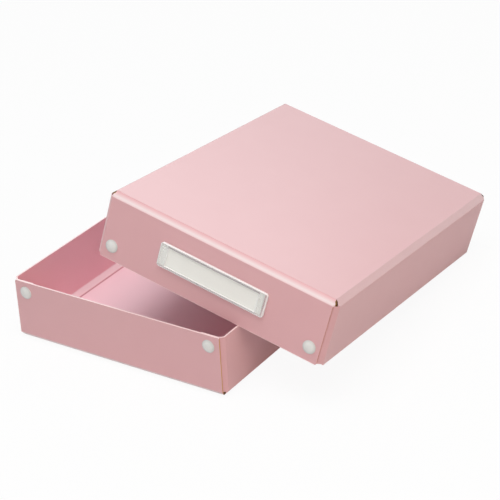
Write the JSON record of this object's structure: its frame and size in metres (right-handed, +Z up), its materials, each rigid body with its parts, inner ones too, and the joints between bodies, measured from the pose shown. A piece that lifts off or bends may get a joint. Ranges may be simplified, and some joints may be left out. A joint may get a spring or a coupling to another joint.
{
  "type": "lidded paperboard storage box",
  "caption": "Pink laminated paperboard box with its lid off and leaning on the tray: folded and riveted corners, and a label holder with a card on the lid.",
  "frame": {"origin": "middle of the tray's underside", "axes": "+Z up, -Y towards the labelled front, +X to the right as seen from the front"},
  "size_m": [0.3139, 0.3404, 0.1526],
  "materials": {
    "pink_board": "satin",
    "white_plastic": "gloss",
    "clear_plastic": "gloss",
    "white_card": "matte",
    "tape": "matte"
  },
  "bodies": {
    "tray": {"tray_board": "pink_board", "tray_stud_front_left": "white_plastic", "tray_stud_front_right": "white_plastic", "tray_stud_back_left": "white_plastic", "tray_stud_back_right": "white_plastic", "tray_socket_front_left": "white_plastic", "tray_socket_front_right": "white_plastic", "tray_socket_back_left": "white_plastic", "tray_socket_back_right": "white_plastic"},
    "lid": {"lid_board": "pink_board", "label_holder": "clear_plastic", "holder_tape_lower": "tape", "holder_tape_upper": "tape", "lid_stud_front_left": "white_plastic", "lid_stud_front_right": "white_plastic", "lid_stud_back_left": "white_plastic", "lid_stud_back_right": "white_plastic", "lid_socket_front_left": "white_plastic", "lid_socket_front_right": "white_plastic", "lid_socket_back_left": "white_plastic", "lid_socket_back_right": "white_plastic"},
    "card": {"label_card": "white_card"}
  },
  "joints": [
    {"name": "lid_lift", "type": "slide", "parent": "tray", "child": "lid", "axis": [0, 0, 1], "range_m": [0, 0.15]},
    {"name": "card_slide", "type": "slide", "parent": "lid", "child": "card", "axis": [-0.9681, -0.03, 0.2487], "range_m": [0, 0.106]}
  ]
}
